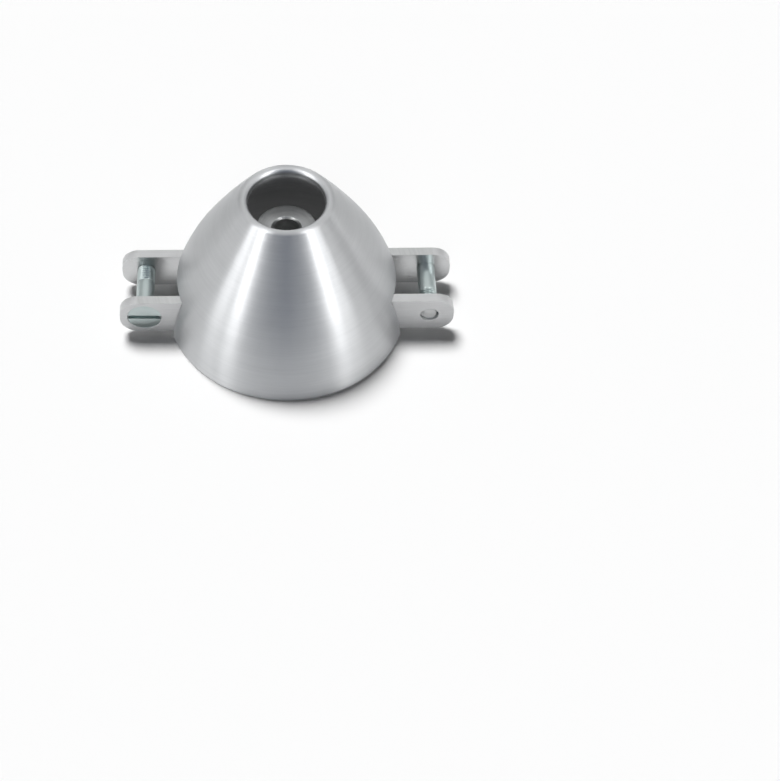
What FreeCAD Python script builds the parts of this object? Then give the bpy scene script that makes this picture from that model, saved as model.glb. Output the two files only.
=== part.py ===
import FreeCAD, Part
import math
import os

import Sketcher

# Open-nosed spinner of a folding model-aircraft propeller, in millimetres.
# +Z runs along the shaft, from the rear rim to the nose, and X through the two blade pivots.
# The origin is the centre of the rear rim, on which the spinner stands.

SIZES = {
    # turned cone
    "cone_diameter": (40.0, "outside diameter at the rear rim"),
    "cone_height": (26.6, "rear rim to the top of the nose lip"),
    "cone_wall": (1.3, "thickness of the shell at the rim and at the shoulder"),
    "rim_angle": (6.5, "inward lean of the side at the rim, in degrees from the axis"),
    "shoulder_angle": (30.7, "lean at the shoulder, where the side passes from one arc to the next"),
    "nose_angle": (36.6, "lean at the nose, where the side meets the lip"),
    "nose_opening": (12.4, "diameter of the air and screw opening in the nose"),
    "lip_radius": (0.86, "rounding of the nose lip"),
    "bore_land": (0.5, "straight bore of the nose opening below the lip"),
    # bar of the yoke, which crosses the cone and ends in two forks
    "bar_floor": (1.1, "rear rim to the rear face of the bar"),
    "bar_height": (7.0, "rear face to front face of the bar"),
    "bar_width": (11.8, "outside width of the bar and of each fork"),
    "notch_clearance": (0.15, "side gap between the bar and the cone's notch"),
    "fork_gap": (8.5, "gap between the two prongs of a fork"),
    "pivot_spacing": (47.3, "distance between the two blade pivots"),
    "root_clearance": (6.2, "pivot to the floor of the fork's slot"),
    "prong_reach": (4.05, "pivot to the end of the prong"),
    "prong_corner": (3.0, "rounding of the prong's two end corners"),
    "edge_break": (0.15, "bevel on the bar's sharp outer edges"),
    # hub in the middle of the yoke
    "boss_diameter": (15.0, "boss that carries the collet's seat"),
    "boss_blend": (1.5, "blend between the boss and the bar's sides"),
    "hub_diameter": (10.3, "turned hub in front of the boss"),
    "hub_rise": (11.7, "front face of the bar to the front face of the hub"),
    "hub_bevel": (0.3, "bevel on the hub's front edge and on its screw hole"),
    "collet_bore": (8.0, "bore for the collet's straight body"),
    "seat_mouth": (10.0, "wide end of the collet's conical seat"),
    "seat_depth": (6.7, "length of the conical seat"),
    "hub_end_wall": (1.9, "wall between the collet bore and the hub's front face"),
    "clamp_hole": (4.4, "clearance hole for the collet's clamp screw"),
    # blade screws
    "thread_diameter": (3.0, "major diameter of a blade screw"),
    "head_diameter": (5.6, "diameter of the countersunk head"),
    "head_land": (0.2, "straight edge of the head above its cone"),
    "head_recess": (0.05, "head's face below the prong's outer face"),
    "screw_length": (11.5, "head's face to the screw's tip"),
    "screw_fit": (0.03, "radial gap round the screw and its head"),
    "screw_tip_bevel": (0.35, "bevel at the screw's tip"),
    "driver_slot_width": (0.8, "width of the driver slot"),
    "driver_slot_depth": (0.7, "depth of the driver slot"),
    "left_slot_turn": (-2.0, "angle of the left screw's driver slot, in degrees"),
    "right_slot_turn": (38.0, "angle of the right screw's driver slot, in degrees"),
}

doc = FreeCAD.newDocument("propeller_spinner")


def make_sheet():
    """Write every driving dimension, its alias and its meaning into the document's sheet."""
    sheet = doc.addObject("Spreadsheet::Sheet", "Sizes")
    for row, (alias, (size, meaning)) in enumerate(SIZES.items(), start=1):
        sheet.set(f"A{row}", alias)
        sheet.set(f"B{row}", str(size))
        sheet.set(f"C{row}", meaning)
        sheet.setAlias(f"B{row}", alias)
    doc.recompute()
    return sheet


def size_of(formula):
    """Value of a formula of the sheet's aliases, such as "Sizes.bar_width / 2"."""
    return float(doc.Sizes.evalExpression(formula))


def add_body(label):
    """One physical piece, with the label that names its node."""
    body = doc.addObject("PartDesign::Body", label)
    body.Label = label
    return body


def add_sketch(body, name, plane_role, height=None):
    """Empty sketch on one of the body's origin planes, or at a height above that plane."""
    sketch = body.newObject("Sketcher::SketchObject", name)
    plane = next(p for p in body.Origin.OriginFeatures if p.Role == plane_role)
    sketch.AttachmentSupport = (plane, [""])
    sketch.MapMode = "FlatFace"
    if height:
        sketch.setExpression("AttachmentOffset.Base.z", height)
    return sketch


def drive(sketch, kind, references, formula):
    """Constraint whose value follows a formula of the sheet."""
    index = sketch.addConstraint(Sketcher.Constraint(kind, *references, size_of(formula)))
    sketch.setExpression(f"Constraints[{index}]", formula)


def drive_angle(sketch, line, lean):
    """Angle of a line above the horizontal axis, in degrees from the sheet."""
    index = sketch.addConstraint(Sketcher.Constraint("Angle", line, math.radians(size_of(lean))))
    sketch.setExpression(f"Constraints[{index}]", f"{lean} * 1deg")


def pin_point(sketch, geometry, end, across, along):
    """Hold one end of a sketch's element at two formulas, where "0" means on the axis."""
    for kind, axis, formula in (("DistanceX", -2, across), ("DistanceY", -1, along)):
        if formula == "0":
            sketch.addConstraint(Sketcher.Constraint("PointOnObject", geometry, end, axis))
        else:
            drive(sketch, kind, (-1, 1, geometry, end), formula)


def draw_outline(sketch, corners):
    """Closed outline of straight lines, with each corner held by two formulas."""
    points = [FreeCAD.Vector(size_of(x), size_of(y), 0) for x, y in corners]
    lines = [
        sketch.addGeometry(Part.LineSegment(start, end), False)
        for start, end in zip(points, points[1:] + points[:1])
    ]
    for line, following in zip(lines, lines[1:] + lines[:1]):
        sketch.addConstraint(Sketcher.Constraint("Coincident", line, 2, following, 1))
    for line, (across, along) in zip(lines, corners):
        pin_point(sketch, line, 1, across, along)
    return lines


def add_revolved(body, kind, name, sketch, axis="V_Axis"):
    """Full turn of a sketch about one of its axes: a Revolution adds, a Groove cuts."""
    feature = body.newObject(f"PartDesign::{kind}", name)
    feature.Profile = sketch
    feature.ReferenceAxis = (sketch, [axis])
    feature.Angle = 360.0
    sketch.Visibility = False
    doc.recompute()
    return feature


def add_edge_feature(body, kind, name, base, picks, size_property, formula):
    """Fillet or chamfer on the edges of the base feature that a test picks out."""
    names = [f"Edge{i}" for i, edge in enumerate(base.Shape.Edges, start=1) if picks(edge)]
    feature = body.newObject(f"PartDesign::{kind}", name)
    feature.Base = (base, names)
    feature.setExpression(size_property, formula)
    doc.recompute()
    return feature


def near(value, target, slack=1e-4):
    """Whether two lengths are the same."""
    return abs(value - target) < slack


def arc(centre, radius, start, end):
    """Arc drawn anticlockwise about a centre, from one point to another."""
    first, last = (math.atan2(p.y - centre.y, p.x - centre.x) for p in (start, end))
    circle = Part.Circle(centre, FreeCAD.Vector(0, 0, 1), radius)
    return Part.ArcOfCircle(circle, first, last)


def outward(lean):
    """Direction that a surface faces, for a lean in degrees from the axis."""
    return FreeCAD.Vector(math.cos(math.radians(lean)), math.sin(math.radians(lean)), 0)


def profile_radii(rim, nose, facings):
    """Radii of two tangent arcs from the rim to the nose that face three given ways in turn."""
    first, second = facings[1] - facings[0], facings[2] - facings[1]
    span = nose - rim
    twist = first.x * second.y - first.y * second.x
    low = (span.x * second.y - span.y * second.x) / twist
    high = (first.x * span.y - first.y * span.x) / twist
    return low, high


def cone_section(body):
    """Half section of the turned shell: two tangent arcs outside, a rounded lip, two bored cones inside."""
    lip_across = "Sizes.nose_opening / 2 + Sizes.lip_radius"
    lip_along = "Sizes.cone_height - Sizes.lip_radius"
    leans = ("Sizes.rim_angle", "Sizes.shoulder_angle", "Sizes.nose_angle")
    facings = [outward(size_of(lean)) for lean in leans]

    lip = FreeCAD.Vector(size_of(lip_across), size_of(lip_along), 0)
    rim_out = FreeCAD.Vector(size_of("Sizes.cone_diameter / 2"), 0, 0)
    nose_out = lip + facings[2] * size_of("Sizes.lip_radius")
    low_radius, high_radius = profile_radii(rim_out, nose_out, facings)
    low = rim_out - facings[0] * low_radius
    shoulder_out = low + facings[1] * low_radius
    high = shoulder_out - facings[1] * high_radius
    shoulder_in = shoulder_out - facings[1] * size_of("Sizes.cone_wall")
    rim_in = rim_out - FreeCAD.Vector(size_of("Sizes.cone_wall"), 0, 0)
    bore_top = FreeCAD.Vector(size_of("Sizes.nose_opening / 2"), lip.y, 0)
    bore_foot = bore_top - FreeCAD.Vector(0, size_of("Sizes.bore_land"), 0)

    sketch = add_sketch(body, "ConeSection", "XZ_Plane")
    outer_low = sketch.addGeometry(arc(low, low_radius, rim_out, shoulder_out), False)
    outer_high = sketch.addGeometry(arc(high, high_radius, shoulder_out, nose_out), False)
    lip_arc = sketch.addGeometry(arc(lip, size_of("Sizes.lip_radius"), nose_out, bore_top), False)
    bore_line = sketch.addGeometry(Part.LineSegment(bore_top, bore_foot), False)
    bored_high = sketch.addGeometry(Part.LineSegment(bore_foot, shoulder_in), False)
    bored_low = sketch.addGeometry(Part.LineSegment(shoulder_in, rim_in), False)
    rim_line = sketch.addGeometry(Part.LineSegment(rim_in, rim_out), False)
    rim_spoke = sketch.addGeometry(Part.LineSegment(low, rim_out), True)
    shoulder_spoke = sketch.addGeometry(Part.LineSegment(low, shoulder_out), True)
    nose_spoke = sketch.addGeometry(Part.LineSegment(lip, nose_out), True)
    wall_mark = sketch.addGeometry(Part.LineSegment(shoulder_in, shoulder_out), True)

    start, end, middle = 1, 2, 3
    joins = (
        ("Tangent", outer_low, end, outer_high, start),
        ("Tangent", outer_high, end, lip_arc, start),
        ("Tangent", lip_arc, end, bore_line, start),
        ("Coincident", bore_line, end, bored_high, start),
        ("Coincident", bored_high, end, bored_low, start),
        ("Coincident", bored_low, end, rim_line, start),
        ("Coincident", rim_line, end, outer_low, start),
        ("Coincident", rim_spoke, start, outer_low, middle),
        ("Coincident", rim_spoke, end, outer_low, start),
        ("Coincident", shoulder_spoke, start, outer_low, middle),
        ("Coincident", shoulder_spoke, end, outer_low, end),
        ("Coincident", nose_spoke, start, lip_arc, middle),
        ("Coincident", nose_spoke, end, lip_arc, start),
        ("Coincident", wall_mark, start, bored_low, start),
        ("Coincident", wall_mark, end, outer_low, end),
        ("Parallel", wall_mark, shoulder_spoke),
        ("PointOnObject", rim_line, start, -1),
        ("PointOnObject", rim_line, end, -1),
        ("Vertical", bore_line),
    )
    for join in joins:
        sketch.addConstraint(Sketcher.Constraint(*join))
    for spoke, lean in zip((rim_spoke, shoulder_spoke, nose_spoke), leans):
        drive_angle(sketch, spoke, lean)
    drive(sketch, "DistanceX", (-1, 1, outer_low, start), "Sizes.cone_diameter / 2")
    pin_point(sketch, lip_arc, middle, lip_across, lip_along)
    drive(sketch, "Radius", (lip_arc,), "Sizes.lip_radius")
    drive(sketch, "DistanceX", (rim_line, start, rim_line, end), "Sizes.cone_wall")
    drive(sketch, "Distance", (wall_mark,), "Sizes.cone_wall")
    drive(sketch, "DistanceY", (bore_line, end, bore_line, start), "Sizes.bore_land")
    return sketch


def make_cone():
    """Thin turned shell, open at nose and rim, with a notch through both sides for the yoke's bar."""
    body = add_body("spinner_cone")
    shell = add_revolved(body, "Revolution", "Shell", cone_section(body))

    notch = add_sketch(body, "NotchOutline", "YZ_Plane")
    half = "Sizes.bar_width / 2 + Sizes.notch_clearance"
    top = "Sizes.bar_floor + Sizes.bar_height"
    draw_outline(notch, [(f"-({half})", "0"), (half, "0"), (half, top), (f"-({half})", top)])
    cut = body.newObject("PartDesign::Pocket", "Notch")
    cut.Profile = notch
    cut.Type = "ThroughAll"
    cut.SideType = "Symmetric"
    notch.Visibility = False
    doc.recompute()
    check_cut(shell, cut)
    return body


def check_cut(before, after):
    """Stop if a cut has pointed away from the solid and removed nothing."""
    if after.Shape.Volume > before.Shape.Volume - 1e-3:
        raise RuntimeError(f"{after.Label} cuts nothing")


def make_yoke():
    """Milled and turned yoke: forked bar, boss with the collet's conical seat, and tall hub."""
    body = add_body("yoke")
    floor, top = "Sizes.bar_floor", "Sizes.bar_floor + Sizes.bar_height"
    hub_top = f"{top} + Sizes.hub_rise"
    reach = "Sizes.pivot_spacing / 2 + Sizes.prong_reach"

    side = add_sketch(body, "BarOutline", "XZ_Plane")
    draw_outline(side, [(f"-({reach})", floor), (reach, floor), (reach, top), (f"-({reach})", top)])
    bar = body.newObject("PartDesign::Pad", "Bar")
    bar.Profile = side
    bar.SideType = "Symmetric"
    bar.setExpression("Length", "Sizes.bar_width")
    side.Visibility = False
    doc.recompute()
    reach_size = size_of(reach)
    ends = add_edge_feature(
        body, "Fillet", "ProngEnds", bar, lambda edge: is_end_corner(edge, reach_size),
        "Radius", "Sizes.prong_corner",
    )

    turned = add_sketch(body, "HubOutline", "XZ_Plane")
    boss_edge, hub_edge = "Sizes.boss_diameter / 2", "Sizes.hub_diameter / 2"
    draw_outline(turned, [
        ("0", floor), (boss_edge, floor), (boss_edge, top),
        (hub_edge, top), (hub_edge, hub_top), ("0", hub_top),
    ])
    hub = add_revolved(body, "Revolution", "Hub", turned)

    blend = add_edge_feature(body, "Fillet", "BossBlend", hub, is_boss_corner, "Radius", "Sizes.boss_blend")
    bevel = add_edge_feature(body, "Chamfer", "HubBevel", blend, is_hub_rim, "Size", "Sizes.hub_bevel")
    broken = add_edge_feature(body, "Chamfer", "EdgeBreak", bevel, is_bar_edge, "Size", "Sizes.edge_break")

    seat = add_sketch(body, "ColletSeat", "XZ_Plane")
    mouth, bore, hole = "Sizes.seat_mouth / 2", "Sizes.collet_bore / 2", "Sizes.clamp_hole / 2"
    seat_end = "Sizes.bar_floor + Sizes.seat_depth"
    wall_foot = f"{hub_top} - Sizes.hub_end_wall"
    draw_outline(seat, [
        ("0", floor), (mouth, floor), (bore, seat_end), (bore, wall_foot), (hole, wall_foot),
        (hole, f"{hub_top} - Sizes.hub_bevel"), (f"{hole} + Sizes.hub_bevel", hub_top), ("0", hub_top),
    ])
    drilled = add_revolved(body, "Groove", "ColletBore", seat)
    check_cut(broken, drilled)

    slot = cut_fork_slot(body, reach)
    check_cut(drilled, slot)
    hole_cut = cut_screw_hole(body)
    check_cut(slot, hole_cut)
    both = body.newObject("PartDesign::PolarPattern", "BothForks")
    both.Originals = [slot, hole_cut]
    both.Axis = (next(a for a in body.Origin.OriginFeatures if a.Role == "Z_Axis"), [""])
    both.Angle = 360.0
    both.Occurrences = 2
    body.Tip = both
    doc.recompute()
    check_cut(hole_cut, both)
    return body


def is_end_corner(edge, reach):
    """Edge along Y at the far end of a prong."""
    box = edge.BoundBox
    return near(abs(box.XMax), reach) and near(box.XLength, 0) and near(box.ZLength, 0)


def is_boss_corner(edge):
    """Upright edge where the round boss meets the flat side of the bar."""
    box = edge.BoundBox
    upright = near(box.XLength, 0) and near(box.YLength, 0)
    in_boss = abs(box.XMax) < size_of("Sizes.boss_diameter / 2")
    return upright and in_boss and near(abs(box.YMax), size_of("Sizes.bar_width / 2"))


def is_hub_rim(edge):
    """Circle round the hub's front face."""
    box = edge.BoundBox
    hub_top = size_of("Sizes.bar_floor + Sizes.bar_height + Sizes.hub_rise")
    return near(box.ZMin, hub_top) and near(box.ZLength, 0)


def is_bar_edge(edge):
    """Outer edge of the bar's flat sides, the rounded ends of the prongs among them."""
    box = edge.BoundBox
    on_side = near(box.YLength, 0) and near(abs(box.YMax), size_of("Sizes.bar_width / 2"))
    return on_side and box.XLength > 1e-3


def cut_fork_slot(body, reach):
    """Slot that parts the right end of the bar into two prongs."""
    sketch = add_sketch(body, "ForkSlotOutline", "XY_Plane")
    slot_floor = "Sizes.pivot_spacing / 2 - Sizes.root_clearance"
    edge, open_end = "Sizes.fork_gap / 2", f"{reach} + Sizes.prong_corner"
    draw_outline(sketch, [
        (slot_floor, f"-{edge}"), (open_end, f"-{edge}"), (open_end, edge), (slot_floor, edge),
    ])
    slot = body.newObject("PartDesign::Pocket", "ForkSlot")
    slot.Profile = sketch
    slot.Type = "ThroughAll"
    slot.SideType = "Symmetric"
    sketch.Visibility = False
    doc.recompute()
    return slot


def cut_screw_hole(body):
    """Stepped hole along the right pivot: countersunk in the rear-side prong, tapped in the other."""
    pivot_height = "Sizes.bar_floor + Sizes.bar_height / 2"
    sketch = add_sketch(body, "ScrewHoleOutline", "XY_Plane", pivot_height)
    pivot, face = "Sizes.pivot_spacing / 2", "Sizes.bar_width / 2"
    head = f"{pivot} + Sizes.head_diameter / 2 + Sizes.screw_fit"
    shank = f"{pivot} + Sizes.thread_diameter / 2 + Sizes.screw_fit"
    land_foot = f"{face} - Sizes.head_recess - Sizes.head_land"
    cone_foot = f"{land_foot} - (Sizes.head_diameter - Sizes.thread_diameter) / 2"
    lines = draw_outline(sketch, [
        (pivot, f"-{face}"), (shank, f"-{face}"), (shank, cone_foot),
        (head, land_foot), (head, face), (pivot, face),
    ])
    axis = sketch.addGeometry(
        Part.LineSegment(FreeCAD.Vector(size_of(pivot), 0, 0), FreeCAD.Vector(size_of(pivot), 1, 0)), True
    )
    sketch.addConstraint(Sketcher.Constraint("Coincident", axis, 1, lines[0], 1))
    sketch.addConstraint(Sketcher.Constraint("Coincident", axis, 2, lines[-1], 1))
    return add_revolved(body, "Groove", "ScrewHole", sketch, "Axis0")


def make_screw(label, side, slot_turn):
    """Slotted countersunk screw through a fork, with its head at the side -1 (towards -Y) or 1."""
    body = add_body(label)
    profile = add_sketch(body, "ScrewOutline", "XZ_Plane")
    head, shank = "Sizes.head_diameter / 2", "Sizes.thread_diameter / 2"
    land_foot = "-Sizes.head_land"
    cone_foot = f"{land_foot} - (Sizes.head_diameter - Sizes.thread_diameter) / 2"
    tip = "-Sizes.screw_length"
    draw_outline(profile, [
        ("0", "0"), (head, "0"), (head, land_foot), (shank, cone_foot),
        (shank, f"{tip} + Sizes.screw_tip_bevel"), (f"{shank} - Sizes.screw_tip_bevel", tip), ("0", tip),
    ])
    turned = add_revolved(body, "Revolution", "Blank", profile)

    slot = add_sketch(body, "DriverSlotOutline", "XY_Plane")
    across, edge = "Sizes.head_diameter", "Sizes.driver_slot_width / 2"
    draw_outline(slot, [
        (f"-{across}", f"-{edge}"), (across, f"-{edge}"), (across, edge), (f"-{across}", edge),
    ])
    cut = body.newObject("PartDesign::Pocket", "DriverSlot")
    cut.Profile = slot
    cut.setExpression("Length", "Sizes.driver_slot_depth")
    slot.Visibility = False
    doc.recompute()
    check_cut(turned, cut)

    upright = FreeCAD.Rotation(FreeCAD.Vector(1, 0, 0), -90 * side)
    turn = FreeCAD.Rotation(FreeCAD.Vector(0, 0, 1), size_of(slot_turn))
    body.Placement = FreeCAD.Placement(FreeCAD.Vector(0, 0, 0), upright * turn)
    body.setExpression("Placement.Base.x", f"{side} * Sizes.pivot_spacing / 2")
    body.setExpression("Placement.Base.y", f"{side} * (Sizes.bar_width / 2 - Sizes.head_recess)")
    body.setExpression("Placement.Base.z", "Sizes.bar_floor + Sizes.bar_height / 2")
    return body


def check_and_write(pieces):
    """Refuse a failed object or an invalid solid, then write one file for each piece."""
    doc.recompute()
    failed = [item.Label for item in doc.Objects if {"Invalid", "Error"} & set(item.State)]
    bad = [p.Label for p in pieces if p.Shape.isNull() or not p.Shape.isValid() or not p.Shape.Solids]
    if failed or bad:
        raise RuntimeError(f"failed objects {failed}, bad shapes {bad}")
    os.makedirs("parts", exist_ok=True)
    for piece in pieces:
        piece.Shape.exportStep(f"parts/{piece.Label}.step")
        print(piece.Label, round(piece.Shape.Volume, 2), "mm3", len(piece.Shape.Faces), "faces")


make_sheet()
check_and_write([
    make_cone(),
    make_yoke(),
    make_screw("blade_screw_left", -1, "Sizes.left_slot_turn"),
    make_screw("blade_screw_right", 1, "Sizes.right_slot_turn"),
])
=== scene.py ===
"""Fine meshes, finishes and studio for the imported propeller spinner, in its own frame in metres."""

import logging
import math
from dataclasses import dataclass
from enum import Enum
from typing import Iterable, Sequence

import bmesh
import bpy
from mathutils import Matrix, Vector


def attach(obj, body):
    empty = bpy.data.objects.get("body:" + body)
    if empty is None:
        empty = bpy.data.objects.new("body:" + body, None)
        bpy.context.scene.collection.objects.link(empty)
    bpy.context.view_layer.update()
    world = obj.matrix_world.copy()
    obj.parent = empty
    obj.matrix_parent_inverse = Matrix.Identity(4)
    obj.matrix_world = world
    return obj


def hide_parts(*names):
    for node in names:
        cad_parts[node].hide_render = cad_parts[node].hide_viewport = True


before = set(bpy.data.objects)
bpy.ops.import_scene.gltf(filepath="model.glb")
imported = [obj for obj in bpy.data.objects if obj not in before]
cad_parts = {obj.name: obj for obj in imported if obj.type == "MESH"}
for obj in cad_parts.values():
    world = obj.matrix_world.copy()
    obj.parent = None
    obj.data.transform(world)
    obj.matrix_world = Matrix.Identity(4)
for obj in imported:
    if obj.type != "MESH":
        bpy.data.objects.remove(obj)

LOG = logging.getLogger("propeller_spinner")
MM = 0.001
TINY = 1e-6
Point = tuple[float, float]
Colour = tuple[float, float, float]
Socket = bpy.types.NodeSocket


class Slot(Enum):
    """Material slots of the part's record."""

    CONE = "turned_aluminium"
    YOKE = "milled_aluminium"
    SCREW = "zinc_plated_steel"


class Side(Enum):
    """The side on which a blade screw sits and its head faces."""

    LEFT = -1
    RIGHT = 1


class Marks(Enum):
    """Shared shader groups of tool marks and handling marks."""

    TURNED = "turning_marks"
    MILLED = "milling_grain"
    HANDLED = "handling_marks"


@dataclass(frozen=True)
class Sizes:
    """Driving sizes that the pieces share, in millimetres."""

    bar_floor: float = 1.1
    bar_height: float = 7.0
    bar_width: float = 11.8
    pivot_spacing: float = 47.3
    thread_diameter: float = 3.0
    head_diameter: float = 5.6
    head_land: float = 0.2
    head_recess: float = 0.05

    @property
    def bar_top(self) -> float:
        """Height of the bar's upper face."""
        return self.bar_floor + self.bar_height

    @property
    def half_width(self) -> float:
        """Distance from the middle to the bar's front or rear face."""
        return self.bar_width / 2

    @property
    def pivot(self) -> float:
        """Distance from the shaft's axis to the axis of a blade screw."""
        return self.pivot_spacing / 2

    @property
    def pivot_height(self) -> float:
        """Height of the blade screws' axes."""
        return self.bar_floor + self.bar_height / 2


SIZES = Sizes()


# --------------------------------------------------------------------------- mesh helpers


def arc_points(centre: Point, radius: float, start: float, end: float, steps: int) -> list[Point]:
    """Points along an arc, both ends included.

    Args:
        centre: Centre of the arc.
        radius: Radius of the arc.
        start: First angle, in degrees.
        end: Last angle, in degrees.
        steps: Number of equal steps.

    Returns:
        The points in order.
    """
    angles = (math.radians(start + (end - start) * i / steps) for i in range(steps + 1))
    return [(centre[0] + radius * math.cos(a), centre[1] + radius * math.sin(a)) for a in angles]


def line_points(start: Point, end: Point, steps: int) -> list[Point]:
    """Points along a straight line, without its two ends.

    Args:
        start: First end.
        end: Second end.
        steps: Number of equal steps.

    Returns:
        The points between the ends.
    """
    return [
        (start[0] + (end[0] - start[0]) * i / steps, start[1] + (end[1] - start[1]) * i / steps)
        for i in range(1, steps)
    ]


def lathe(profile: Sequence[Point], segments: int) -> bmesh.types.BMesh:
    """Turn a closed profile of (radius, height) in millimetres round the Z axis.

    Args:
        profile: Corners of the closed section, where a radius of 0 lies on the axis.
        segments: Number of steps round the axis.

    Returns:
        A closed mesh in metres.
    """
    mesh = bmesh.new()
    rings = []
    for radius, height in profile:
        if radius < TINY:
            rings.append([mesh.verts.new((0, 0, height * MM))] * segments)
            continue
        turn = 2 * math.pi / segments
        rings.append([
            mesh.verts.new((radius * math.cos(turn * i) * MM, radius * math.sin(turn * i) * MM, height * MM))
            for i in range(segments)
        ])
    for ring, following in zip(rings, rings[1:] + rings[:1]):
        for i in range(segments):
            j = (i + 1) % segments
            corners = list(dict.fromkeys((ring[i], ring[j], following[j], following[i])))
            if len(corners) > 2:
                mesh.faces.new(corners)
    bmesh.ops.recalc_face_normals(mesh, faces=mesh.faces)
    return mesh


def prism(outline: Sequence[Point], low: float, high: float, along_y: bool = False) -> bmesh.types.BMesh:
    """Closed prism over an outline in millimetres.

    Args:
        outline: Corners of the outline, in XY, or in XZ for a prism along Y.
        low: Where the prism starts.
        high: Where the prism ends.
        along_y: Whether it stands along Y and not Z.

    Returns:
        A closed mesh in metres.
    """
    mesh = bmesh.new()
    ends = []
    for level in (low, high):
        corners = [(a, level, b) if along_y else (a, b, level) for a, b in outline]
        ends.append([mesh.verts.new(Vector(corner) * MM) for corner in corners])
    mesh.faces.new(ends[0])
    mesh.faces.new(ends[1])
    count = len(outline)
    for i in range(count):
        j = (i + 1) % count
        mesh.faces.new((ends[0][i], ends[0][j], ends[1][j], ends[1][i]))
    bmesh.ops.recalc_face_normals(mesh, faces=mesh.faces)
    return mesh


def box_outline(half_length: float, half_width: float) -> list[Point]:
    """Corners of a rectangle centred on the origin."""
    return [
        (-half_length, -half_width), (half_length, -half_width),
        (half_length, half_width), (-half_length, half_width),
    ]


def link(item: bpy.types.Object) -> None:
    """Put an object into the scene."""
    bpy.context.scene.collection.objects.link(item)


def to_object(name: str, mesh: bmesh.types.BMesh) -> bpy.types.Object:
    """Scene object that holds a mesh.

    Args:
        name: Name of the object.
        mesh: Mesh that it takes over and frees.

    Returns:
        The linked object.
    """
    data = bpy.data.meshes.new(name)
    mesh.to_mesh(data)
    mesh.free()
    item = bpy.data.objects.new(name, data)
    link(item)
    return item


def bake(item: bpy.types.Object) -> None:
    """Replace an object's mesh by what its modifiers make of it."""
    shaped = bpy.data.meshes.new_from_object(item.evaluated_get(bpy.context.evaluated_depsgraph_get()))
    item.modifiers.clear()
    item.data = shaped


def combine(item: bpy.types.Object, tool: bmesh.types.BMesh, operation: str) -> None:
    """Join, cut or keep the overlap of an object and a tool mesh.

    Args:
        item: Object to change.
        tool: Closed mesh, used up here.
        operation: UNION, DIFFERENCE or INTERSECT.
    """
    cutter = to_object("cutter", tool)
    change = item.modifiers.new("change", "BOOLEAN")
    change.operation = operation
    change.solver = "EXACT"
    change.object = cutter
    bake(item)
    bpy.data.objects.remove(cutter)


def soften(item: bpy.types.Object, width: float, angle: float = 40.0, segments: int = 3) -> None:
    """Round the sharp edges, and shade the mesh smoothly with its many-sided flats kept flat.

    Args:
        item: Object to change.
        width: Width of the rounding in millimetres, or 0 for none.
        angle: Edges sharper than this many degrees are rounded or kept sharp.
        segments: Steps of the rounding.
    """
    if width:
        bevel = item.modifiers.new("edges", "BEVEL")
        bevel.width = width * MM
        bevel.segments = segments
        bevel.limit_method = "ANGLE"
        bevel.angle_limit = math.radians(angle)
        bake(item)
    item.data.shade_smooth()
    item.data.set_sharp_from_angle(angle=math.radians(angle))
    weigh = item.modifiers.new("normals", "WEIGHTED_NORMAL")
    weigh.keep_sharp = True
    bake(item)
    normals = [corner.vector.copy() for corner in item.data.corner_normals]
    for polygon in item.data.polygons:
        if polygon.loop_total > 4:
            for corner in polygon.loop_indices:
                normals[corner] = polygon.normal.copy()
    item.data.normals_split_custom_set(normals)


# --------------------------------------------------------------------------- shader helpers


@dataclass
class Graph:
    """Short way to add and wire nodes in a material, a world, a lamp or a group."""

    tree: bpy.types.NodeTree

    @classmethod
    def of(cls, owner: bpy.types.Material | bpy.types.World | bpy.types.Light) -> "Graph":
        """Emptied graph of a material, world or lamp."""
        owner.use_nodes = True
        owner.node_tree.nodes.clear()
        return cls(owner.node_tree)

    def add(self, kind: str, settings: dict | None = None, **inputs: object) -> bpy.types.Node:
        """Add a node.

        Args:
            kind: Type name of the node.
            settings: Attributes to set on the node.
            inputs: Values or sockets for its inputs, by name or as i0, i1 and so on.

        Returns:
            The node.
        """
        node = self.tree.nodes.new(kind)
        for name, value in (settings or {}).items():
            setattr(node, name, value)
        for name, value in inputs.items():
            numbered = name[0] == "i" and name[1:].isdigit()
            socket = node.inputs[int(name[1:])] if numbered else node.inputs[name.replace("_", " ")]
            if isinstance(value, Socket):
                self.tree.links.new(value, socket)
            else:
                socket.default_value = value
        return node

    def end(self, kind: str, shader: bpy.types.Node) -> None:
        """Add an output node that shows a shader."""
        output = self.add(kind)
        self.tree.links.new(shader.outputs[0], output.inputs["Surface"])

    def math(self, operation: str, *values: object) -> Socket:
        """Result of a Math node on up to three values or sockets."""
        inputs = {f"i{i}": value for i, value in enumerate(values)}
        return self.add("ShaderNodeMath", {"operation": operation}, **inputs).outputs[0]

    def scaled(self, value: Socket, factor: object) -> Socket:
        """A value times a number or a socket."""
        return self.math("MULTIPLY", value, factor)

    def blend(self, first: Socket, second: Socket, share: float) -> Socket:
        """The first value's share plus the rest of the second."""
        return self.math("ADD", self.scaled(first, share), self.scaled(second, 1 - share))

    def spread(self, value: Socket, low: float, high: float) -> Socket:
        """A 0 to 1 value stretched over a range."""
        return self.add("ShaderNodeMapRange", i0=value, i3=low, i4=high).outputs[0]

    def stretch(self, noise: Socket) -> Socket:
        """A noise value, mostly near one half, stretched over 0 to 1."""
        usual_low, usual_high = 0.32, 0.68
        return self.add("ShaderNodeMapRange", i0=noise, i1=usual_low, i2=usual_high).outputs[0]

    def tint(self, mask: Socket, first: Colour, second: Colour) -> Socket:
        """Colour that goes from the first to the second with a mask."""
        ramp = self.add("ShaderNodeValToRGB", i0=mask)
        ramp.color_ramp.elements[0].color = (*first, 1)
        ramp.color_ramp.elements[1].color = (*second, 1)
        return ramp.outputs[0]

    def noise(self, place: Socket, scale: object, detail: float, rough: float) -> Socket:
        """Noise value, 0 to 1, at a place."""
        node = self.add("ShaderNodeTexNoise", Vector=place, Scale=scale, Detail=detail, Roughness=rough)
        return node.outputs[0]


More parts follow.
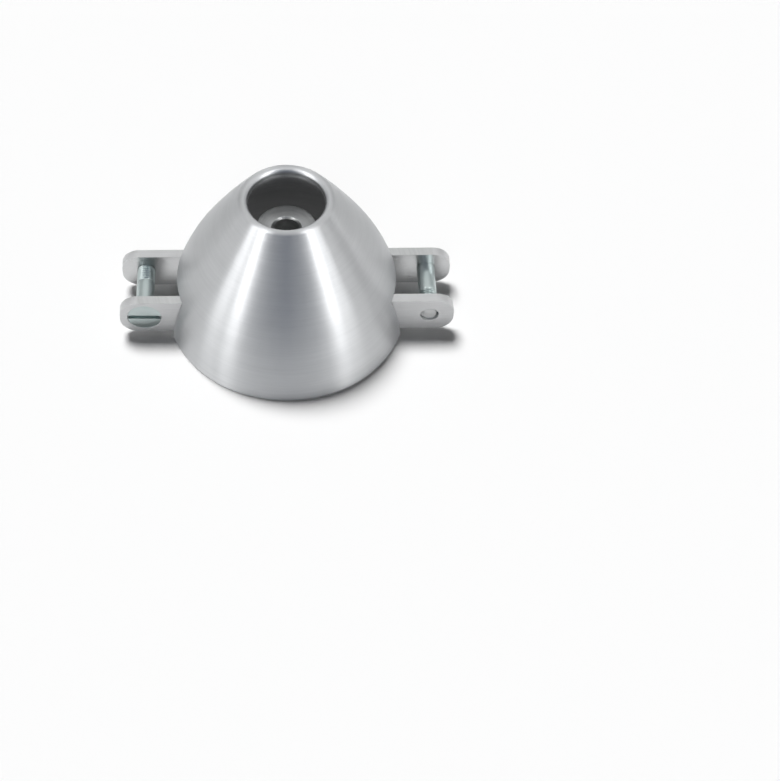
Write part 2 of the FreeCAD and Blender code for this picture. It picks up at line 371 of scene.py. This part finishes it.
def make_group(name: str, inputs: dict[str, float], outputs: Iterable[str]) -> tuple[Graph, dict, dict]:
    """Empty shader group with named values in and out.

    Args:
        name: Name of the group.
        inputs: Name and first value of each input.
        outputs: Names of the outputs.

    Returns:
        Its graph, its input sockets and its output sockets, both by name.
    """
    tree = bpy.data.node_groups.new(name, "ShaderNodeTree")
    for label, value in inputs.items():
        socket = tree.interface.new_socket(name=label, in_out="INPUT", socket_type="NodeSocketFloat")
        socket.default_value = value
    for label in outputs:
        tree.interface.new_socket(name=label, in_out="OUTPUT", socket_type="NodeSocketFloat")
    start, end = tree.nodes.new("NodeGroupInput"), tree.nodes.new("NodeGroupOutput")
    return Graph(tree), dict(start.outputs.items()), dict(end.inputs.items())


def turning_marks() -> bpy.types.NodeTree:
    """Group of fine lathe lines round the shaft axis, with broader uneven bands.

    Returns:
        The group. Lines per millimetre go in. Marks and bands, both 0 to 1, come out.
    """
    per_height, per_radius = 900.0, 450.0
    band_width, band_scale = 0.35, 1.3
    graph, given, result = make_group(Marks.TURNED.value, {"Lines": 6.0}, ("Marks", "Bands"))
    place = graph.add("ShaderNodeTexCoord").outputs["Object"]
    split = graph.add("ShaderNodeSeparateXYZ", i0=place).outputs
    squares = graph.math("ADD", graph.math("POWER", split[0], 2.0), graph.math("POWER", split[1], 2.0))
    radius = graph.math("SQRT", squares)
    along = graph.math("SUBTRACT", graph.scaled(split[2], per_height), graph.scaled(radius, per_radius))
    turn = graph.math("ARCTAN2", split[1], split[0])
    across, aside = graph.math("COSINE", turn), graph.math("SINE", turn)

    fine = graph.add("ShaderNodeCombineXYZ", X=graph.scaled(along, given["Lines"]), Y=across, Z=aside)
    lines = graph.noise(fine.outputs[0], scale=1.0, detail=3.0, rough=0.7)
    wide = graph.add("ShaderNodeCombineXYZ", X=graph.scaled(along, band_width), Y=across, Z=aside)
    bands = graph.noise(wide.outputs[0], scale=band_scale, detail=4.0, rough=0.6)
    graph.tree.links.new(graph.stretch(lines), result["Marks"])
    graph.tree.links.new(graph.stretch(bands), result["Bands"])
    return graph.tree


def milling_grain() -> bpy.types.NodeTree:
    """Group of straight fine cutter lines, with a few cloudy patches.

    The lines run along X on the sides and slant across the ends.

    Returns:
        The group. Lines per millimetre go in. Grain and patches, both 0 to 1, come out.
    """
    per_depth, per_height = 700.0, 1000.0
    change_along, change_across = 180.0, 120.0
    patch_scale = 260.0
    graph, given, result = make_group(Marks.MILLED.value, {"Lines": 5.0}, ("Grain", "Patches"))
    place = graph.add("ShaderNodeTexCoord").outputs["Object"]
    split = graph.add("ShaderNodeSeparateXYZ", i0=place).outputs
    slant = graph.math("ADD", graph.scaled(split[1], per_depth), graph.scaled(split[2], per_height))
    stretched = graph.add(
        "ShaderNodeCombineXYZ",
        X=graph.scaled(split[0], change_along),
        Y=graph.scaled(slant, given["Lines"]),
        Z=graph.scaled(split[1], change_across),
    )
    grain = graph.noise(stretched.outputs[0], scale=1.0, detail=3.0, rough=0.6)
    patches = graph.noise(place, scale=patch_scale, detail=4.0, rough=0.6)
    graph.tree.links.new(graph.stretch(grain), result["Grain"])
    graph.tree.links.new(graph.stretch(patches), result["Patches"])
    return graph.tree


def handling_marks() -> bpy.types.NodeTree:
    """Group of faint smudges and hairline scratches left by handling.

    Returns:
        The group. Their size in millimetres goes in. Smudges and scratches, both 0 to 1, come out.
    """
    cell_scale, scratch_width, scratched_above = 1.6, 0.012, 0.58
    graph, given, result = make_group(Marks.HANDLED.value, {"Size": 4.0}, ("Smudges", "Scratches"))
    place = graph.add("ShaderNodeTexCoord").outputs["Object"]
    scale = graph.math("DIVIDE", 1 / MM, given["Size"])
    smudges = graph.noise(place, scale=scale, detail=5.0, rough=0.65)
    cells = graph.add(
        "ShaderNodeTexVoronoi", {"feature": "DISTANCE_TO_EDGE"},
        Vector=place, Scale=graph.scaled(scale, cell_scale),
    )
    thin = graph.math("LESS_THAN", cells.outputs[0], scratch_width)
    broken = graph.math("GREATER_THAN", smudges, scratched_above)
    graph.tree.links.new(smudges, result["Smudges"])
    graph.tree.links.new(graph.scaled(thin, broken), result["Scratches"])
    return graph.tree


@dataclass(frozen=True, kw_only=True)
class MetalFinish:
    """Metal surface with its colour range, gloss and tool marks."""

    name: str
    dark: Colour
    light: Colour
    roughness: tuple[float, float]
    marks: Marks
    lines: float
    relief: float
    smudge: float
    anisotropy: float = 0.0

    def build(self, groups: dict[Marks, bpy.types.NodeTree]) -> bpy.types.Material:
        """Make the material.

        Args:
            groups: The shared shader groups.

        Returns:
            The material.
        """
        fine_in_colour, fine_in_gloss, scratch_depth, quarter_turn = 0.6, 0.5, 0.6, 0.25
        material = bpy.data.materials.new(self.name)
        graph = Graph.of(material)
        tooled = graph.add("ShaderNodeGroup", {"node_tree": groups[self.marks]}, i0=self.lines)
        handled = graph.add("ShaderNodeGroup", {"node_tree": groups[Marks.HANDLED]}, i0=self.smudge)
        fine, broad = tooled.outputs[0], tooled.outputs[1]
        smudges, scratches = handled.outputs[0], handled.outputs[1]

        colour = graph.tint(graph.blend(fine, broad, fine_in_colour), self.dark, self.light)
        rough = graph.spread(graph.blend(fine, smudges, fine_in_gloss), *self.roughness)
        height = graph.math("SUBTRACT", fine, graph.scaled(scratches, scratch_depth))
        bump = graph.add("ShaderNodeBump", Strength=1.0, Distance=self.relief * MM, Height=height)
        shader = graph.add(
            "ShaderNodeBsdfPrincipled",
            Base_Color=colour, Metallic=1.0, Roughness=rough, Anisotropic=self.anisotropy,
            Normal=bump.outputs[0],
        )
        if self.anisotropy:
            tangent = graph.add("ShaderNodeTangent", {"direction_type": "RADIAL", "axis": "Z"})
            graph.tree.links.new(tangent.outputs[0], shader.inputs["Tangent"])
            shader.inputs["Anisotropic Rotation"].default_value = quarter_turn
        graph.end("ShaderNodeOutputMaterial", shader)
        return material


class Finishes:
    """All finishes of the spinner, built once."""

    def __init__(self) -> None:
        """Build the shared groups, then the metals."""
        groups = {
            Marks.TURNED: turning_marks(),
            Marks.MILLED: milling_grain(),
            Marks.HANDLED: handling_marks(),
        }
        self.turned = MetalFinish(
            name="turned_aluminium", dark=(0.495, 0.505, 0.515), light=(0.555, 0.565, 0.575),
            roughness=(0.32, 0.39), marks=Marks.TURNED, lines=2.5, relief=0.0, smudge=6.0, anisotropy=0.97,
        ).build(groups)
        self.lip = MetalFinish(
            name="polished_lip", dark=(0.48, 0.49, 0.50), light=(0.56, 0.57, 0.58),
            roughness=(0.34, 0.44), marks=Marks.TURNED, lines=3.0, relief=0.001, smudge=6.0, anisotropy=0.4,
        ).build(groups)
        # The inside is the same metal as the outside. Its darker colour is painted shade of the hollow,
        # while its higher roughness and lathe lines are the bored finish.
        self.bored_and_shaded = MetalFinish(
            name="inside_metal_and_painted_shade", dark=(0.40, 0.405, 0.41), light=(0.50, 0.505, 0.51),
            roughness=(0.45, 0.60), marks=Marks.TURNED, lines=4.0, relief=0.004, smudge=5.0, anisotropy=0.5,
        ).build(groups)
        self.milled = MetalFinish(
            name="milled_aluminium", dark=(0.53, 0.535, 0.54), light=(0.61, 0.615, 0.62),
            roughness=(0.40, 0.56), marks=Marks.MILLED, lines=4.0, relief=0.0012, smudge=3.0,
        ).build(groups)
        self.slotted = MetalFinish(
            name="slotted_aluminium", dark=(0.54, 0.545, 0.55), light=(0.60, 0.605, 0.61),
            roughness=(0.20, 0.30), marks=Marks.MILLED, lines=4.0, relief=0.0003, smudge=3.0,
        ).build(groups)
        self.hub = MetalFinish(
            name="turned_hub", dark=(0.46, 0.47, 0.47), light=(0.58, 0.59, 0.59),
            roughness=(0.30, 0.42), marks=Marks.TURNED, lines=5.0, relief=0.002, smudge=4.0, anisotropy=0.6,
        ).build(groups)
        self.cut = MetalFinish(
            name="cut_screw_end", dark=(0.50, 0.51, 0.51), light=(0.58, 0.58, 0.58),
            roughness=(0.40, 0.52), marks=Marks.HANDLED, lines=0.8, relief=0.001, smudge=1.5,
        ).build(groups)
        self.zinc = MetalFinish(
            name="zinc_plated_steel", dark=(0.40, 0.48, 0.475), light=(0.56, 0.58, 0.58),
            roughness=(0.22, 0.36), marks=Marks.HANDLED, lines=1.6, relief=0.001, smudge=1.5,
        ).build(groups)


# --------------------------------------------------------------------------- pieces


def outward(lean: float) -> Vector:
    """Direction that a surface faces for a lean in degrees, as (radius, height)."""
    return Vector((math.cos(math.radians(lean)), math.sin(math.radians(lean))))


@dataclass
class ConeShell:
    """Turned shell of the spinner, open at the nose and notched for the yoke. Lengths are millimetres."""

    rim_radius: float = 20.0
    height: float = 26.6
    wall: float = 1.3
    leans: tuple[float, float, float] = (6.5, 30.7, 36.6)
    opening_radius: float = 6.2
    lip_radius: float = 0.86
    bore_land: float = 0.5
    notch_clearance: float = 0.15
    notch_edge: float = 0.2
    segments: int = 384
    arc_steps: tuple[int, int, int] = (36, 24, 20)
    bore_steps: tuple[int, int] = (6, 8)

    def section(self) -> list[Point]:
        """Closed half section, from the outer rim up the outside and down the inside."""
        faces = [outward(lean) for lean in self.leans]
        rim = Vector((self.rim_radius, 0))
        lip = Vector((self.opening_radius + self.lip_radius, self.height - self.lip_radius))
        nose = lip + faces[2] * self.lip_radius
        first, second, span = faces[1] - faces[0], faces[2] - faces[1], nose - rim
        twist = first.cross(second)
        low_radius, high_radius = span.cross(second) / twist, first.cross(span) / twist
        low = rim - faces[0] * low_radius
        shoulder = low + faces[1] * low_radius
        high = shoulder - faces[1] * high_radius
        inner = tuple(shoulder - faces[1] * self.wall)
        foot = (self.opening_radius, lip.y - self.bore_land)
        rim_in = (self.rim_radius - self.wall, 0.0)

        points = arc_points(tuple(low), low_radius, self.leans[0], self.leans[1], self.arc_steps[0])
        points += arc_points(tuple(high), high_radius, self.leans[1], self.leans[2], self.arc_steps[1])[1:]
        points += arc_points(tuple(lip), self.lip_radius, self.leans[2], 180, self.arc_steps[2])[1:]
        points += [foot] + line_points(foot, inner, self.bore_steps[0])
        return points + [inner] + line_points(inner, rim_in, self.bore_steps[1]) + [rim_in]

    def build(self, finishes: Finishes) -> bpy.types.Object:
        """Make the shell, dress it and set it in place of its solid.

        Args:
            finishes: The finishes to choose from.

        Returns:
            The dressed piece.
        """
        piece = to_object("cone_shell", lathe(self.section(), self.segments))
        past_side, past_rim = 1.5 * self.rim_radius, 5.0
        notch = box_outline(past_side, SIZES.half_width + self.notch_clearance)
        combine(piece, prism(notch, -past_rim, SIZES.bar_top), "DIFFERENCE")
        soften(piece, self.notch_edge, angle=50.0, segments=2)
        self.dress(piece, finishes)
        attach(piece, "root")
        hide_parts("spinner_cone")
        return piece

    def dress(self, piece: bpy.types.Object, finishes: Finishes) -> None:
        """Give the outside, the lip and the inside their own finish; the inside's darker colour is painted
        shade of the hollow.

        Args:
            piece: The shell.
            finishes: The finishes to choose from.
        """
        for finish in (finishes.turned, finishes.lip, finishes.bored_and_shaded):
            piece.data.materials.append(finish)
        lip, bored_and_shaded = 1, 2
        rim_face, lip_foot = 0.1 * MM, (self.height - self.lip_radius - self.bore_land) * MM
        facing_in = -0.1
        for polygon in piece.data.polygons:
            centre, normal = polygon.center, polygon.normal
            outside = normal.x * centre.x + normal.y * centre.y > facing_in * math.hypot(centre.x, centre.y)
            if outside or centre.z < rim_face:
                continue
            # Inward faces below the lip get the inside metal, whose darker colour is painted shade.
            polygon.material_index = lip if centre.z > lip_foot else bored_and_shaded


@dataclass
class Yoke:
    """Forked cross bar with its round boss, turned hub and collet bore. Lengths are millimetres."""

    fork_gap: float = 8.5
    root_clearance: float = 6.2
    prong_reach: float = 4.05
    prong_corner: float = 3.0
    boss_radius: float = 7.5
    boss_blend: float = 1.5
    hub_radius: float = 5.15
    hub_rise: float = 11.7
    hub_bevel: float = 0.3
    hub_end_wall: float = 1.9
    bore_radius: float = 4.0
    seat_radius: float = 5.0
    seat_depth: float = 6.7
    clamp_radius: float = 2.2
    screw_fit: float = 0.03
    edge: float = 0.18
    segments: int = 128
    hole_segments: int = 96
    corner_steps: int = 16
    boss_steps: int = 14
    blend_steps: int = 8

    @property
    def half_gap(self) -> float:
        """Distance from the middle to a prong's inner face."""
        return self.fork_gap / 2

    @property
    def slot_floor(self) -> float:
        """Distance from the shaft's axis to the root of a fork slot."""
        return SIZES.pivot - self.root_clearance

    @property
    def reach(self) -> float:
        """Distance from the shaft's axis to the prongs' ends."""
        return SIZES.pivot + self.prong_reach

    @property
    def hub_top(self) -> float:
        """Height of the hub's flat end."""
        return SIZES.bar_top + self.hub_rise

    def plan(self) -> list[Point]:
        """Outline from above: the bar, its boss with blended corners, and the two fork slots."""
        blend_y = SIZES.half_width + self.boss_blend
        blend_x = math.sqrt((self.boss_radius + self.boss_blend) ** 2 - blend_y ** 2)
        lean = math.degrees(math.atan2(blend_y, blend_x))
        quarter = [(self.slot_floor, self.half_gap), (self.reach, self.half_gap)]
        quarter += [(self.reach, SIZES.half_width)]
        quarter += arc_points((blend_x, blend_y), self.boss_blend, 270, 180 + lean, self.blend_steps)
        quarter += arc_points((0, 0), self.boss_radius, lean, 90, self.boss_steps)[1:]
        upper = quarter + [(-x, y) for x, y in reversed(quarter[:-1])]
        return upper + [(-x, -y) for x, y in upper]

    def side(self) -> list[Point]:
        """Outline from the front: a bar with round end corners."""
        corner = self.prong_corner
        inset, low, high = self.reach - corner, SIZES.bar_floor + corner, SIZES.bar_top - corner
        points: list[Point] = []
        for x, z, start in ((inset, high, 0), (-inset, high, 90), (-inset, low, 180), (inset, low, 270)):
            points += arc_points((x, z), corner, start, start + 90, self.corner_steps)
        return points

    def hub(self) -> list[Point]:
        """Section of the turned hub, down into the boss."""
        foot, edge = SIZES.pivot_height, self.hub_bevel
        return [
            (0, foot), (self.hub_radius, foot), (self.hub_radius, self.hub_top - edge),
            (self.hub_radius - edge, self.hub_top), (0, self.hub_top),
        ]

    def bore(self) -> list[Point]:
        """Section of the collet's seat, its bore and the clamp screw's hole."""
        slope = (self.seat_radius - self.bore_radius) / self.seat_depth
        seat_end, bore_end = SIZES.bar_floor + self.seat_depth, self.hub_top - self.hub_end_wall
        edge = self.hub_bevel
        return [
            (0, 0), (self.seat_radius + slope * SIZES.bar_floor, 0), (self.bore_radius, seat_end),
            (self.bore_radius, bore_end), (self.clamp_radius, bore_end),
            (self.clamp_radius, self.hub_top - edge), (self.clamp_radius + 2 * edge, self.hub_top + edge),
            (0, self.hub_top + edge),
        ]

    def screw_hole(self, side: Side) -> bmesh.types.BMesh:
        """Hole for a blade screw through both prongs, countersunk on the side that its head faces."""
        face, past = SIZES.half_width, SIZES.half_width + 1
        shank = SIZES.thread_diameter / 2 + self.screw_fit
        head = SIZES.head_diameter / 2 + self.screw_fit
        land_foot = face - SIZES.head_recess - SIZES.head_land
        cone_foot = land_foot - (head - shank)
        tool = lathe([
            (0, -past), (shank, -past), (shank, cone_foot), (head, land_foot), (head, past), (0, past),
        ], self.hole_segments)
        upright = Matrix.Rotation(math.radians(-90 * side.value), 4, "X")
        place = Matrix.Translation(Vector((side.value * SIZES.pivot, 0, SIZES.pivot_height)) * MM)
        bmesh.ops.transform(tool, matrix=place @ upright, verts=tool.verts)
        return tool

    def build(self, finishes: Finishes) -> bpy.types.Object:
        """Make the yoke, dress it and set it in place of its solid.

        Args:
            finishes: The finishes to choose from.

        Returns:
            The dressed piece.
        """
        piece = to_object("forked_yoke", prism(self.plan(), SIZES.bar_floor, SIZES.bar_top))
        past_boss = self.boss_radius + self.boss_blend
        combine(piece, prism(self.side(), -past_boss, past_boss, along_y=True), "INTERSECT")
        combine(piece, lathe(self.hub(), self.segments), "UNION")
        combine(piece, lathe(self.bore(), self.segments), "DIFFERENCE")
        for side in Side:
            combine(piece, self.screw_hole(side), "DIFFERENCE")
        soften(piece, self.edge)
        self.dress(piece, finishes)
        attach(piece, "root")
        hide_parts("yoke")
        return piece

    def dress(self, piece: bpy.types.Object, finishes: Finishes) -> None:
        """Give the milled bar, the turned hub and the smoother fork slots their own finish.

        Args:
            piece: The yoke.
            finishes: The finishes to choose from.
        """
        for finish in (finishes.milled, finishes.hub, finishes.slotted):
            piece.data.materials.append(finish)
        hub, slotted = 1, 2
        margin, upright = 0.1, 0.5
        slot_face, slot_root = (self.half_gap + margin / 2) * MM, (self.slot_floor - margin) * MM
        hub_foot, bore_wall = (SIZES.bar_top + margin / 5) * MM, (self.seat_radius - margin) * MM
        for polygon in piece.data.polygons:
            centre = polygon.center
            in_slot = abs(centre.y) < slot_face and abs(centre.x) > slot_root
            if in_slot and abs(polygon.normal.z) < upright:
                polygon.material_index = slotted
            if centre.z > hub_foot or math.hypot(centre.x, centre.y) < bore_wall:
                polygon.material_index = hub


@dataclass
class BladeScrew:
    """Countersunk slotted screw through a fork. Lengths are millimetres."""

    side: Side
    slot_turn: float
    length: float = 11.5
    head_edge: float = 0.07
    thread_start: float = 7.0
    thread_pitch: float = 0.5
    thread_depth: float = 0.26
    thread_crest: float = 0.12
    tip_bevel: float = 0.35
    slot_width: float = 0.8
    slot_depth: float = 0.7
    segments: int = 96
    shank_steps: int = 8
    rows_per_pitch: int = 12

    @property
    def shank_radius(self) -> float:
        """Radius of the plain shank."""
        return SIZES.thread_diameter / 2

    @property
    def head_radius(self) -> float:
        """Radius of the head."""
        return SIZES.head_diameter / 2

    def blank(self) -> bmesh.types.BMesh:
        """Head, plain shank and threaded end, with the head's face at height 0 and the tip below."""
        shank, head, edge = self.shank_radius, self.head_radius, self.head_edge
        land, chamfer = SIZES.head_land, 0.3 * edge
        neck = (shank, -land - (head - shank))
        section = [(0, 0.0), (head / 2, 0.0), (head - edge, 0.0), (head - chamfer, -chamfer), (head, -edge)]
        section += [(head, -land), neck] + line_points(neck, (shank, -self.thread_start), self.shank_steps)
        threaded = self.length - self.thread_start
        rows = math.ceil(threaded / self.thread_pitch * self.rows_per_pitch)
        section += [(shank, -self.thread_start - threaded * i / rows) for i in range(rows + 1)]
        mesh = lathe(section + [(0, -self.length)], self.segments)
        for vert in mesh.verts:
            depth = -vert.co.z / MM
            radius = math.hypot(vert.co.x, vert.co.y)
            if depth < self.thread_start - TINY or radius < TINY * MM:
                continue
            cut = self.thread_cut(depth, math.atan2(vert.co.y, vert.co.x))
            scale = (shank - cut) * MM / radius
            vert.co.x *= scale
            vert.co.y *= scale
        return mesh

    def thread_cut(self, depth: float, turn: float) -> float:
        """How deep the thread lies under the shank's surface.

        Args:
            depth: Distance from the head's face.
            turn: Angle round the screw, in radians.

        Returns:
            The depth of cut in millimetres.
        """
        phase = (depth / self.thread_pitch - turn / (2 * math.pi)) % 1.0
        groove = 1 - abs(2 * phase - 1)
        groove = min(1.0, max(0.0, (groove - self.thread_crest) / (1 - 2 * self.thread_crest)))
        start = min(1.0, max(0.0, (depth - self.thread_start) / self.thread_pitch))
        tip = max(0.0, self.tip_bevel - (self.length - depth))
        return self.thread_depth * groove * start + tip

    def build(self, finishes: Finishes) -> bpy.types.Object:
        """Make the screw, dress it and set it in place of its solid.

        Args:
            finishes: The finishes to choose from.

        Returns:
            The dressed piece.
        """
        side_name = self.side.name.lower()
        piece = to_object(f"fork_screw_{side_name}", self.blank())
        above_face = 1.0
        slot = box_outline(self.head_radius * 2, self.slot_width / 2)
        combine(piece, prism(slot, -self.slot_depth, above_face), "DIFFERENCE")
        soften(piece, 0.0)
        self.dress(piece, finishes)
        upright = Matrix.Rotation(math.radians(-90 * self.side.value), 4, "X")
        turn = Matrix.Rotation(math.radians(self.slot_turn), 4, "Z")
        out, face = self.side.value, SIZES.half_width - SIZES.head_recess
        place = Matrix.Translation(Vector((out * SIZES.pivot, out * face, SIZES.pivot_height)) * MM)
        piece.data.transform(place @ upright @ turn)
        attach(piece, "root")
        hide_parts(f"blade_screw_{side_name}")
        return piece

    def dress(self, piece: bpy.types.Object, finishes: Finishes) -> None:
        """Give the cut tip its own finish and the rest the plating, while the tip still points down.

        Args:
            piece: The screw.
            finishes: The finishes to choose from.
        """
        piece.data.materials.append(finishes.zinc)
        piece.data.materials.append(finishes.cut)
        tip_face = -(self.length - self.tip_bevel) * MM
        for polygon in piece.data.polygons:
            polygon.material_index = int(polygon.center.z < tip_face)


# --------------------------------------------------------------------------- studio


def facing(around: float, above: float) -> tuple[Vector, Matrix]:
    """Where a lamp stands and how it is turned.

    Args:
        around: Degrees from the front towards the right.
        above: Degrees above the floor.

    Returns:
        The direction of the lamp from the spinner, and the turn that points it back at the spinner.
    """
    a, b = math.radians(around), math.radians(above)
    direction = Vector((math.sin(a) * math.cos(b), -math.cos(a) * math.cos(b), math.sin(b)))
    return direction, direction.to_track_quat("Z", "Y").to_matrix().to_4x4()


def before_matte(graph: Graph) -> Socket:
    """1 for a ray that hasn't yet left a matte surface, and 0 after that."""
    depth = graph.add("ShaderNodeLightPath").outputs["Diffuse Depth"]
    return graph.math("LESS_THAN", depth, 0.5)


@dataclass(frozen=True, kw_only=True)
class Sun:
    """Even lamp that lights matte surfaces and casts a shadow.

    Its place is in degrees from the front towards the right, and above the floor. Its spread, in degrees,
    softens the shadow. Its strength is in watts per square metre.
    """

    name: str
    around: float
    above: float
    spread: float
    strength: float

    def build(self) -> None:
        """Add the lamp."""
        data = bpy.data.lights.new(self.name, "SUN")
        data.angle = math.radians(self.spread)
        data.energy = self.strength
        item = bpy.data.objects.new(self.name, data)
        item.matrix_world = facing(self.around, self.above)[1]
        item.visible_glossy = False
        link(item)


@dataclass(frozen=True, kw_only=True)
class Strip:
    """Tall soft strip that faces the spinner and shows in the metal's gloss.

    Its place is in degrees, as for a sun, its size in millimetres, and its level is 1 for a white face.
    """

    name: str
    around: float
    width: float
    level: float
    above: float = 38.0
    height: float = 520.0
    distance: float = 420.0

    def build(self) -> None:
        """Add the strip."""
        direction, turn = facing(self.around, self.above)
        data = bpy.data.lights.new(self.name, "AREA")
        data.shape = "RECTANGLE"
        data.size, data.size_y = self.width * MM, self.height * MM
        data.energy = math.pi * data.size * data.size_y
        graph = Graph.of(data)
        glow = graph.add("ShaderNodeEmission", Strength=graph.scaled(before_matte(graph), self.level))
        graph.end("ShaderNodeOutputLight", glow)
        item = bpy.data.objects.new(self.name, data)
        item.matrix_world = Matrix.Translation(direction * self.distance * MM) @ turn
        item.visible_camera = item.visible_diffuse = False
        link(item)


@dataclass(frozen=True, kw_only=True)
class Screen:
    """Curved cloth screen that only the metal's gloss shows.

    It stands around its middle, reaches the same degrees to each side, and spans two heights in
    millimetres. Its colour goes from its middle to its two side edges.
    """

    name: str
    around: float
    reach: float
    span: tuple[float, float]
    middle: Colour
    edge: Colour
    distance: float = 500.0
    steps: int = 32

    def build(self) -> None:
        """Add the screen."""
        mesh = bmesh.new()
        columns = []
        for i in range(self.steps + 1):
            a = math.radians(self.reach * (2 * i / self.steps - 1))
            spot = Vector((math.sin(a), -math.cos(a), 0)) * self.distance
            columns.append([mesh.verts.new((spot + Vector((0, 0, z))) * MM) for z in self.span])
        for left, right in zip(columns, columns[1:]):
            mesh.faces.new((left[0], right[0], right[1], left[1]))
        item = to_object(self.name, mesh)
        item.rotation_euler.z = math.radians(self.around)
        item.data.materials.append(self.cloth())
        item.visible_camera = item.visible_diffuse = item.visible_shadow = item.visible_transmission = False

    def cloth(self) -> bpy.types.Material:
        """Glowing cloth that goes from the middle's colour to the edge's."""
        material = bpy.data.materials.new(f"{self.name}_cloth")
        graph = Graph.of(material)
        place = graph.add("ShaderNodeTexCoord").outputs["Object"]
        split = graph.add("ShaderNodeSeparateXYZ", i0=place).outputs
        half = self.distance * MM * math.sin(math.radians(self.reach))
        from_middle = graph.math("DIVIDE", graph.math("ABSOLUTE", split[0]), half)
        colour = graph.tint(from_middle, self.middle, self.edge)
        graph.end("ShaderNodeOutputMaterial", graph.add("ShaderNodeEmission", Color=colour, Strength=1.0))
        return material


@dataclass
class Studio:
    """Camera, surroundings, floor and lamps. Lengths are millimetres and angles are degrees."""

    tilt: float = 52.887
    distance: float = 300.1
    rise: float = 14.274
    swing: float = -0.69
    focal: float = 81.46
    sensor: float = 36.0
    shift: float = 0.1327
    plain_level: float = 0.05
    floor_colour: Colour = (0.95, 0.95, 0.95)
    floor_half_size: float = 1500.0
    floor_drop: float = 0.05
    floor_lift_seen: float = 0.01
    floor_lift_in_gloss: float = 0.12

    def camera(self) -> None:
        """Add the camera, looking down on the front of the spinner."""
        tilt = math.radians(self.tilt)
        ahead = Vector((0, math.cos(tilt), -math.sin(tilt)))
        upward = Vector((0, math.sin(tilt), math.cos(tilt)))
        place = -ahead * self.distance - upward * self.rise
        swing = Matrix.Rotation(math.radians(self.swing), 4, "Z")
        data = bpy.data.cameras.new("camera")
        data.sensor_fit = "HORIZONTAL"
        data.sensor_width = self.sensor
        data.lens = self.focal
        data.shift_x = self.shift
        data.clip_start, data.clip_end = 0.01, 20.0
        item = bpy.data.objects.new("camera", data)
        turn = Matrix((Vector((1, 0, 0)), upward, -ahead)).transposed().to_4x4()
        item.matrix_world = swing @ Matrix.Translation(place * MM) @ turn
        link(item)
        bpy.context.scene.camera = item

    def world(self) -> None:
        """White where the camera, gloss or glass sees it first, and a low plain level for the rest."""
        world = bpy.data.worlds.new("studio_air")
        bpy.context.scene.world = world
        graph = Graph.of(world)
        rays = graph.add("ShaderNodeLightPath").outputs
        seen = graph.math("MAXIMUM", rays["Is Camera Ray"], rays["Is Transmission Ray"])
        seen = graph.math("MAXIMUM", seen, rays["Is Glossy Ray"])
        shown = graph.scaled(seen, before_matte(graph))
        plain = graph.add("ShaderNodeBackground", Color=(1, 1, 1, 1), Strength=self.plain_level)
        white = graph.add("ShaderNodeBackground", Color=(1, 1, 1, 1), Strength=1.0)
        mixed = graph.add("ShaderNodeMixShader", i0=shown, i1=plain.outputs[0], i2=white.outputs[0])
        graph.end("ShaderNodeOutputWorld", mixed)

    def floor(self) -> None:
        """Add the pale floor that keeps the shadows, a hair below the rim."""
        mesh = bmesh.new()
        bmesh.ops.create_grid(mesh, x_segments=1, y_segments=1, size=self.floor_half_size * MM)
        item = to_object("floor", mesh)
        item.location.z = -self.floor_drop * MM
        material = bpy.data.materials.new("pale_floor")
        graph = Graph.of(material)
        rays = graph.add("ShaderNodeLightPath").outputs
        seen = graph.scaled(rays["Is Camera Ray"], self.floor_lift_seen)
        in_gloss = graph.scaled(rays["Is Glossy Ray"], self.floor_lift_in_gloss)
        matte = graph.add("ShaderNodeBsdfDiffuse", Color=(*self.floor_colour, 1))
        white = graph.add("ShaderNodeEmission", Strength=1.0)
        lift = graph.math("ADD", seen, in_gloss)
        both = graph.add("ShaderNodeMixShader", i0=lift, i1=matte.outputs[0], i2=white.outputs[0])
        graph.end("ShaderNodeOutputMaterial", both)
        item.data.materials.append(material)

    def build(self) -> None:
        """Set up the whole studio."""
        bpy.context.scene.view_settings.view_transform = "Standard"
        self.camera()
        self.world()
        self.floor()
        rear = {"reach": 26, "span": (20, 420), "middle": (0.60, 0.61, 0.61), "edge": (0.80, 0.80, 0.80)}
        lights = (
            Screen(
                name="front_screen", around=-2, reach=42, span=(-20, 700),
                middle=(0.0, 0.03, 0.10), edge=(0.36, 0.38, 0.41),
            ),
            Screen(
                name="side_screen", around=91, reach=8, span=(-20, 160),
                middle=(0.35, 0.35, 0.36), edge=(0.6, 0.6, 0.6),
            ),
            Screen(name="rear_left_screen", around=-138, **rear),
            Screen(name="rear_right_screen", around=138, **rear),
            Strip(name="strip_left", around=-52, width=80, level=3.0),
            Strip(name="strip_far_left", around=-70, width=92, level=2.2),
            Strip(name="strip_right", around=49, width=70, level=3.3),
            Strip(name="strip_far_right", around=61, width=104, level=1.5),
            Sun(name="key", around=-152, above=66, spread=22.0, strength=3.3),
            Sun(name="fill", around=-12, above=36, spread=24.0, strength=0.12),
        )
        for light in lights:
            light.build()


# --------------------------------------------------------------------------- assembly


def main() -> None:
    """Build the studio and every piece, and log each piece's face count."""
    logging.basicConfig(level=logging.INFO, format="%(message)s")
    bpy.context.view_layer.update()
    Studio().build()
    finishes = Finishes()
    pieces = (
        ConeShell(),
        Yoke(),
        BladeScrew(Side.LEFT, -2.0),
        BladeScrew(Side.RIGHT, 38.0),
    )
    for piece in pieces:
        item = piece.build(finishes)
        LOG.info("%s: %d faces", item.name, len(item.data.polygons))
    bpy.context.view_layer.update()


if __name__ == "__main__":
    main()
